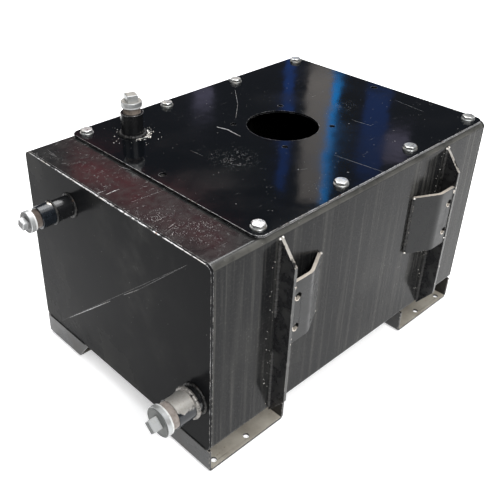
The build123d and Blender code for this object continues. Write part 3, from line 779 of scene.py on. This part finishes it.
def make_port_welds(material, bright):
    """Rings where each port's stub meets the end plate and its socket."""
    for port, (wall_bead, joint_bead) in PORT_BEADS.items():
        lo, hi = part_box(port + "_stub")
        centre = middle(port + "_stub")
        radius = (hi[1] - lo[1]) / 2
        wall_centre = (FRONT_X - 0.6 * MM, centre.y, centre.z)
        joint_centre = (lo[0] - 0.4 * MM, centre.y, centre.z)
        wall_ring = circle_path(wall_centre, (1, 0, 0), radius + 0.9 * MM)
        joint_ring = circle_path(joint_centre, (1, 0, 0), radius + 0.6 * MM)
        bead_piece(port + "_wall_weld", [(wall_ring, *wall_bead)], material, "tank")
        joint_metal = bright if port == "suction" else material
        bead_piece(port + "_socket_weld", [(joint_ring, *joint_bead)], joint_metal, "tank")


def make_filler_weld(material, bright):
    """The ring round the filler socket's foot, with spatter mostly on its near side."""
    lo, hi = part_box("filler_socket")
    centre = Vector(((lo[0] + hi[0]) / 2, (lo[1] + hi[1]) / 2, LID_Z + 0.6 * MM))
    radius = (hi[0] - lo[0]) / 2 + 1.6 * MM
    ring = circle_path(centre, (0, 0, 1), radius, 170)
    bead_piece("filler_weld", [(ring, *FILLER_BEAD)], material, "lid")
    spots = []
    for _ in range(130):
        angle = random.uniform(-118.0, -15.0)
        reach = radius + abs(random.gauss(0.0, 4.0)) * MM + 1.2 * MM
        a = math.radians(angle)
        spot = centre + Vector((reach * math.cos(a), reach * math.sin(a), -0.5 * MM))
        spots.append((spot, random.uniform(0.35, 1.15)))
    for _ in range(26):
        a = random.uniform(0.0, 2 * math.pi)
        reach = radius + random.uniform(3.0, 30.0) * MM
        spot = centre + Vector((reach * math.cos(a), reach * math.sin(a), -0.6 * MM))
        spots.append((spot, random.uniform(0.3, 0.8)))
    spatter_piece("filler_spatter", spots, bright, "lid")


def make_gusset_welds(material, bright):
    """Two stitches down each side of each gusset, and spatter on the wall beside them."""
    for node in ("gusset_front", "gusset_rear"):
        lo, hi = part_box(node)
        stitches = (
            (hi[2] - 3 * MM, hi[2] - 125 * MM),
            (lo[2] + 116 * MM, lo[2] + 6 * MM),
        )
        beads = []
        for x in (lo[0], hi[0]):
            for top, bottom in stitches:
                path = line_path((x, NEAR_Y, top), (x, NEAR_Y, bottom))
                beads.append((path, *GUSSET_BEAD))
        bead_piece(node + "_weld", beads, material, "tank")
        spots = []
        for _ in range(26):
            z = random.uniform(lo[2], hi[2])
            x = lo[0] - random.uniform(3.0, 16.0) * MM
            spots.append((Vector((x, NEAR_Y, z)), random.uniform(0.3, 0.8)))
        spots.append((Vector((lo[0] - 2 * MM, NEAR_Y - 1 * MM, hi[2] - 1 * MM)), 2.2))
        spots.append((Vector((lo[0] + 2 * MM, NEAR_Y - 2 * MM, hi[2] + 0.5 * MM)), 2.0))
        spatter_piece(node + "_spatter", spots, bright, "tank")


def make_bracket_welds(material, bright):
    """A bead along the wall and one behind the gusset for each bracket, with tacks."""
    for node, sign in (("bracket_front", 1), ("bracket_rear", -1)):
        lo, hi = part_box(node)
        wall_x = hi[0] if sign > 0 else lo[0]
        hidden_x = lo[0] if sign > 0 else hi[0]
        wall_y = NEAR_Y - 1.2 * MM
        hidden_y = lo[1] + 6 * MM
        wall_path = line_path((wall_x, wall_y, lo[2] + 3 * MM), (wall_x, wall_y, hi[2] - 3 * MM))
        hidden_path = line_path(
            (hidden_x, hidden_y, lo[2] + 4 * MM), (hidden_x, hidden_y, hi[2] - 4 * MM))
        beads = [(wall_path, *BRACKET_WALL_BEAD), (hidden_path, *BRACKET_GUSSET_BEAD)]
        bead_piece(node + "_weld", beads, material, "tank")
        tacks = []
        for z, size in ((hi[2] - 7 * MM, 2.4), (hi[2] - 10 * MM, 1.8), (lo[2] + 8 * MM, 1.9)):
            tacks.append((Vector((hidden_x, lo[1] + 0.6 * MM, z)), size))
        tacks.append((Vector((wall_x, NEAR_Y - 3 * MM, hi[2] - 1 * MM)), 2.4))
        tacks.append((Vector((wall_x, NEAR_Y - 3 * MM, lo[2] + 2 * MM)), 2.2))
        spatter_piece(node + "_tacks", tacks, bright, "tank")


def make_foot_welds(material):
    """Beads between the tank's floor and the outer and inner edges of each foot."""
    for end in ("front", "rear"):
        for side in ("near", "far"):
            node = "foot_" + end + "_" + side
            lo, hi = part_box(node)
            outer_x = lo[0] if end == "front" else hi[0]
            inner_x = hi[0] if end == "front" else lo[0]
            beads = []
            for x in (outer_x, inner_x):
                path = line_path((x, lo[1] + 6 * MM, FLOOR_Z), (x, hi[1] - 6 * MM, FLOOR_Z))
                beads.append((path, *FOOT_BEAD))
            bead_piece(node + "_weld", beads, material, "tank")


# ------------------------------------------------------------------ floor
def make_floor():
    """A plain pale floor, wide enough to fill the view."""
    bm = bmesh.new()
    bmesh.ops.create_grid(bm, x_segments=8, y_segments=8, size=9.0)
    mesh = bpy.data.meshes.new("floor")
    bm.to_mesh(mesh)
    bm.free()
    tree = Tree("floor_paint")
    tree.finish((0.95, 0.95, 0.95, 1.0), 0.85)
    tree.shader.inputs["Emission Color"].default_value = (1.0, 1.0, 1.0, 1.0)
    tree.shader.inputs["Emission Strength"].default_value = 0.50
    mesh.materials.append(tree.material)
    thing = bpy.data.objects.new("floor", mesh)
    bpy.context.scene.collection.objects.link(thing)


# ------------------------------------------------------------------ light
# Soft white lamps: (name, place, target, size, watts).
LAMPS = (
    ("key", (-0.9, -2.6, 2.9), (0, 0, 0.2), (2.4, 2.0), 108.0),
    ("side", (-3.0, 0.6, 2.0), (0, 0, 0.2), (2.2, 1.6), 10.0),
    ("top", (0.2, -0.2, 3.4), (0, 0, 0), (3.0, 3.0), 84.0),
    ("far_floor", (1.4, 1.8, 3.6), (1.2, 1.6, 0), (2.6, 2.6), 130.0),
)
# Faint tinted panels that only the gloss of the lid and the strip picks up:
# (name, place, target, size, watts, colour, roll in degrees).
PANELS = (
    ("grey_band", (2.56, 1.90, 1.81), (0.0, 0.0, 0.35),
     (0.15, 0.85), 0.28, (1.0, 0.92, 0.84), 0.0),
    ("blue_fringe", (2.60, 1.81, 1.83), (0.0, 0.0, 0.35),
     (0.045, 0.80), 0.30, (0.0, 0.34, 1.0), 0.0),
    ("blue_hole", (2.50, 2.09, 1.76), (0.0, 0.0, 0.35),
     (0.06, 0.85), 0.09, (0.02, 0.20, 1.0), 0.0),
    ("blue_side", (2.80, 1.64, 1.78), (0.0, 0.0, 0.35),
     (0.15, 0.55), 0.10, (0.04, 0.22, 1.0), 0.0),
    ("lilac_patch", (2.21, 2.55, 1.67), (0.0, 0.0, 0.35),
     (0.12, 0.16), 0.03, (0.70, 0.66, 1.0), 0.0),
    ("lilac_side", (2.82, 1.48, 1.83), (0.0, 0.0, 0.35),
     (0.13, 0.16), 0.04, (0.75, 0.68, 1.0), 0.0),
    ("red_panel", (1.59, 2.32, 2.11), (-0.2, 0.0, 0.35),
     (1.13, 0.17), 0.42, (1.0, 0.13, 0.17), 149.0),
)


def make_light(name, place, target, size, power, color=(1.0, 1.0, 1.0), roll=0.0):
    """A rectangular area lamp aimed at a point, turned about its own axis by roll."""
    data = bpy.data.lights.new(name, "AREA")
    data.shape = "RECTANGLE"
    data.size = size[0]
    data.size_y = size[1]
    data.energy = power
    data.color = color
    lamp = bpy.data.objects.new(name, data)
    lamp.location = place
    aim = Vector(target) - Vector(place)
    lamp.rotation_mode = "QUATERNION"
    turned = Matrix.Rotation(math.radians(roll), 3, "Z").to_quaternion()
    lamp.rotation_quaternion = aim.to_track_quat("-Z", "Y") @ turned
    bpy.context.scene.collection.objects.link(lamp)


def make_studio():
    """A dim bluish surround, soft lamps and the tinted panels."""
    scene = bpy.context.scene
    scene.view_settings.view_transform = "Standard"
    scene.view_settings.look = "None"
    world = bpy.data.worlds.new("studio")
    scene.world = world
    world.use_nodes = True
    background = world.node_tree.nodes["Background"]
    background.inputs["Color"].default_value = (0.80, 0.86, 1.0, 1.0)
    background.inputs["Strength"].default_value = 0.05
    for lamp in LAMPS + PANELS:
        make_light(*lamp)


# ------------------------------------------------------------------ worn edges
def end_edges():
    """The front end's top edge and near upright edge, where the paint is rubbed off."""
    top = (FRONT_X + 0.6 * MM, NEAR_Y + 10 * MM, DECK_Z - 0.3 * MM)
    far = (FRONT_X + 0.6 * MM, FAR_Y - 10 * MM, DECK_Z - 0.3 * MM)
    upper = (FRONT_X + 0.6 * MM, NEAR_Y + 0.4 * MM, DECK_Z - 12 * MM)
    lower = (FRONT_X + 0.6 * MM, NEAR_Y + 0.4 * MM, FLOOR_Z + 8 * MM)
    return ((top, far, 1.5), (upper, lower, 0.6))


def lid_edges():
    """The lid's front and near upper edges."""
    corner = 12 * MM
    front_near = (lid_lo[0] + 0.3 * MM, lid_lo[1] + corner, LID_Z)
    front_far = (lid_lo[0] + 0.3 * MM, lid_hi[1] - corner, LID_Z)
    near_front = (lid_lo[0] + corner, lid_lo[1] + 0.3 * MM, LID_Z)
    near_rear = (lid_hi[0] - corner, lid_lo[1] + 0.3 * MM, LID_Z)
    return ((front_near, front_far, 0.55), (near_front, near_rear, 0.70))


# ------------------------------------------------------------------ the object
# Plugs: (sealing ring, axis, outward sign, thread colour, end-face colour; on the return and
# suction plugs the end-face colour is a painted shade on the face turned away from the light).
PLUGS = {
    "filler": ("filler_seal", 2, 1.0, (0.30, 0.25, 0.21, 1.0), (0.36, 0.35, 0.32, 1.0)),
    "return": ("return_seal", 0, -1.0, (0.17, 0.14, 0.12, 1.0), (0.10, 0.10, 0.10, 1.0)),
    "suction": ("suction_seal", 0, -1.0, (0.40, 0.355, 0.325, 1.0), (0.085, 0.09, 0.085, 1.0)),
}
FEET = ("foot_front_near", "foot_front_far", "foot_rear_near", "foot_rear_far")


def dress_sheet_metal():
    """Paint the shell, its ends, the lid, the gussets, the brackets and the feet."""
    lid_paint = paint(
        "lid_paint", on_lid, LID_SCRATCHES, lid_edges(), LID_SPECKS,
        wear=1.0, dust=0.10, scuffs=0.9, level=GLOSSY, gloss=(0.05, 0.12), black=LID_BLACK)
    wall_paint = paint(
        "wall_paint", on_deck, STRIP_SCRATCHES, (), STRIP_SPECKS,
        wear=0.8, dust=0.22, scuffs=0.6, streaks=0.48, level=0.085, gloss=(0.08, 0.17))
    end_paint = paint(
        "end_paint", on_front_end, END_SCRATCHES, end_edges(),
        wear=1.0, dust=0.60, scuffs=0.30, level=0.026, gloss=(0.16, 0.26))
    dress("tank_wrap", wall_paint, SHEET_EDGE)
    dress("front_end_plate", end_paint, SHEET_EDGE)
    dress("rear_end_plate", end_paint, SHEET_EDGE)
    dress("lid_plate", lid_paint)
    for node in ("gusset_front", "gusset_rear"):
        dress(node, gusset_material(node + "_paint"), PLATE_EDGE)
    for node in ("bracket_front", "bracket_rear"):
        dress(node, bracket_material(), PLATE_EDGE)
    for node in FEET:
        dress(node, foot_material(), PLATE_EDGE)


def dress_fittings():
    """Plate or scale the bolts, sockets, stubs, plugs and sealing rings."""
    zinc = zinc_material("zinc_plate")
    dress("lid_bolts", zinc, BOLT_EDGE)
    dress("lid_washers", zinc)
    dress("filler_socket", paint("filler_paint", wear=1.2, dust=0.2, scuffs=0.6))
    dress("return_stub", paint("stub_paint", wear=0.4, dust=0.1, scuffs=0.3))
    dress("suction_stub", paint("suction_stub_paint", wear=0.6, dust=0.1, scuffs=0.5))
    lo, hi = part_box("return_socket")
    spot = Vector((hi[0], (lo[1] + hi[1]) / 2, hi[2]))
    scale = socket_material("return_scale", spot, 7.0, 0.0, (0.66, 0.62, 0.56, 1.0))
    dress("return_socket", scale)
    lo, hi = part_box("suction_socket")
    spot = Vector(((lo[0] + hi[0]) / 2, (lo[1] + hi[1]) / 2 - 5.0 * MM, hi[2]))
    scale = socket_material("suction_scale", spot, 18.0, 0.45, (0.50, 0.485, 0.455, 1.0))
    dress("suction_socket", scale)
    for port, looks in PLUGS.items():
        dress(port + "_plug", plug_material(port + "_plug_metal", *looks))
        dress(port + "_seal", seal_material())


def dress_inside():
    """Mill steel, the strainer's metals, its wire cloth, and the gasket's rubber."""
    inner = simple_metal(
        "mill_steel", (0.34, 0.33, 0.31, 1.0), (0.22, 0.20, 0.17, 1.0), 30.0, 0.30, 0.5, 0.9)
    for node in ("baffle_plate", "lid_nuts", "return_drop_pipe"):
        dress(node, inner)
    fitting = simple_metal(
        "strainer_metal", (0.62, 0.62, 0.60, 1.0), (0.48, 0.47, 0.43, 1.0),
        60.0, 0.25, 0.4, 0.95)
    for node in ("strainer_collar", "strainer_cage", "strainer_end_cap"):
        dress(node, fitting)
    dress("strainer_screen", mesh_material())
    dress("lid_gasket", rubber_material())


def add_welds():
    """The weld beads, tacks and spatter."""
    painted = weld_material("weld_painted", 0.05, 0.05)
    bare = weld_material("weld_bare", 0.27, 0.22, 0.30, 0.52)
    spatter = zinc_material("spatter_metal", (0.80, 0.78, 0.74, 1.0), (0.50, 0.42, 0.34, 1.0))
    make_port_welds(painted, bare)
    make_filler_weld(painted, spatter)
    make_gusset_welds(painted, spatter)
    make_bracket_welds(painted, spatter)
    make_foot_welds(painted)


def build():
    make_camera()
    make_floor()
    make_studio()
    dress_sheet_metal()
    dress_fittings()
    dress_inside()
    add_welds()


build()
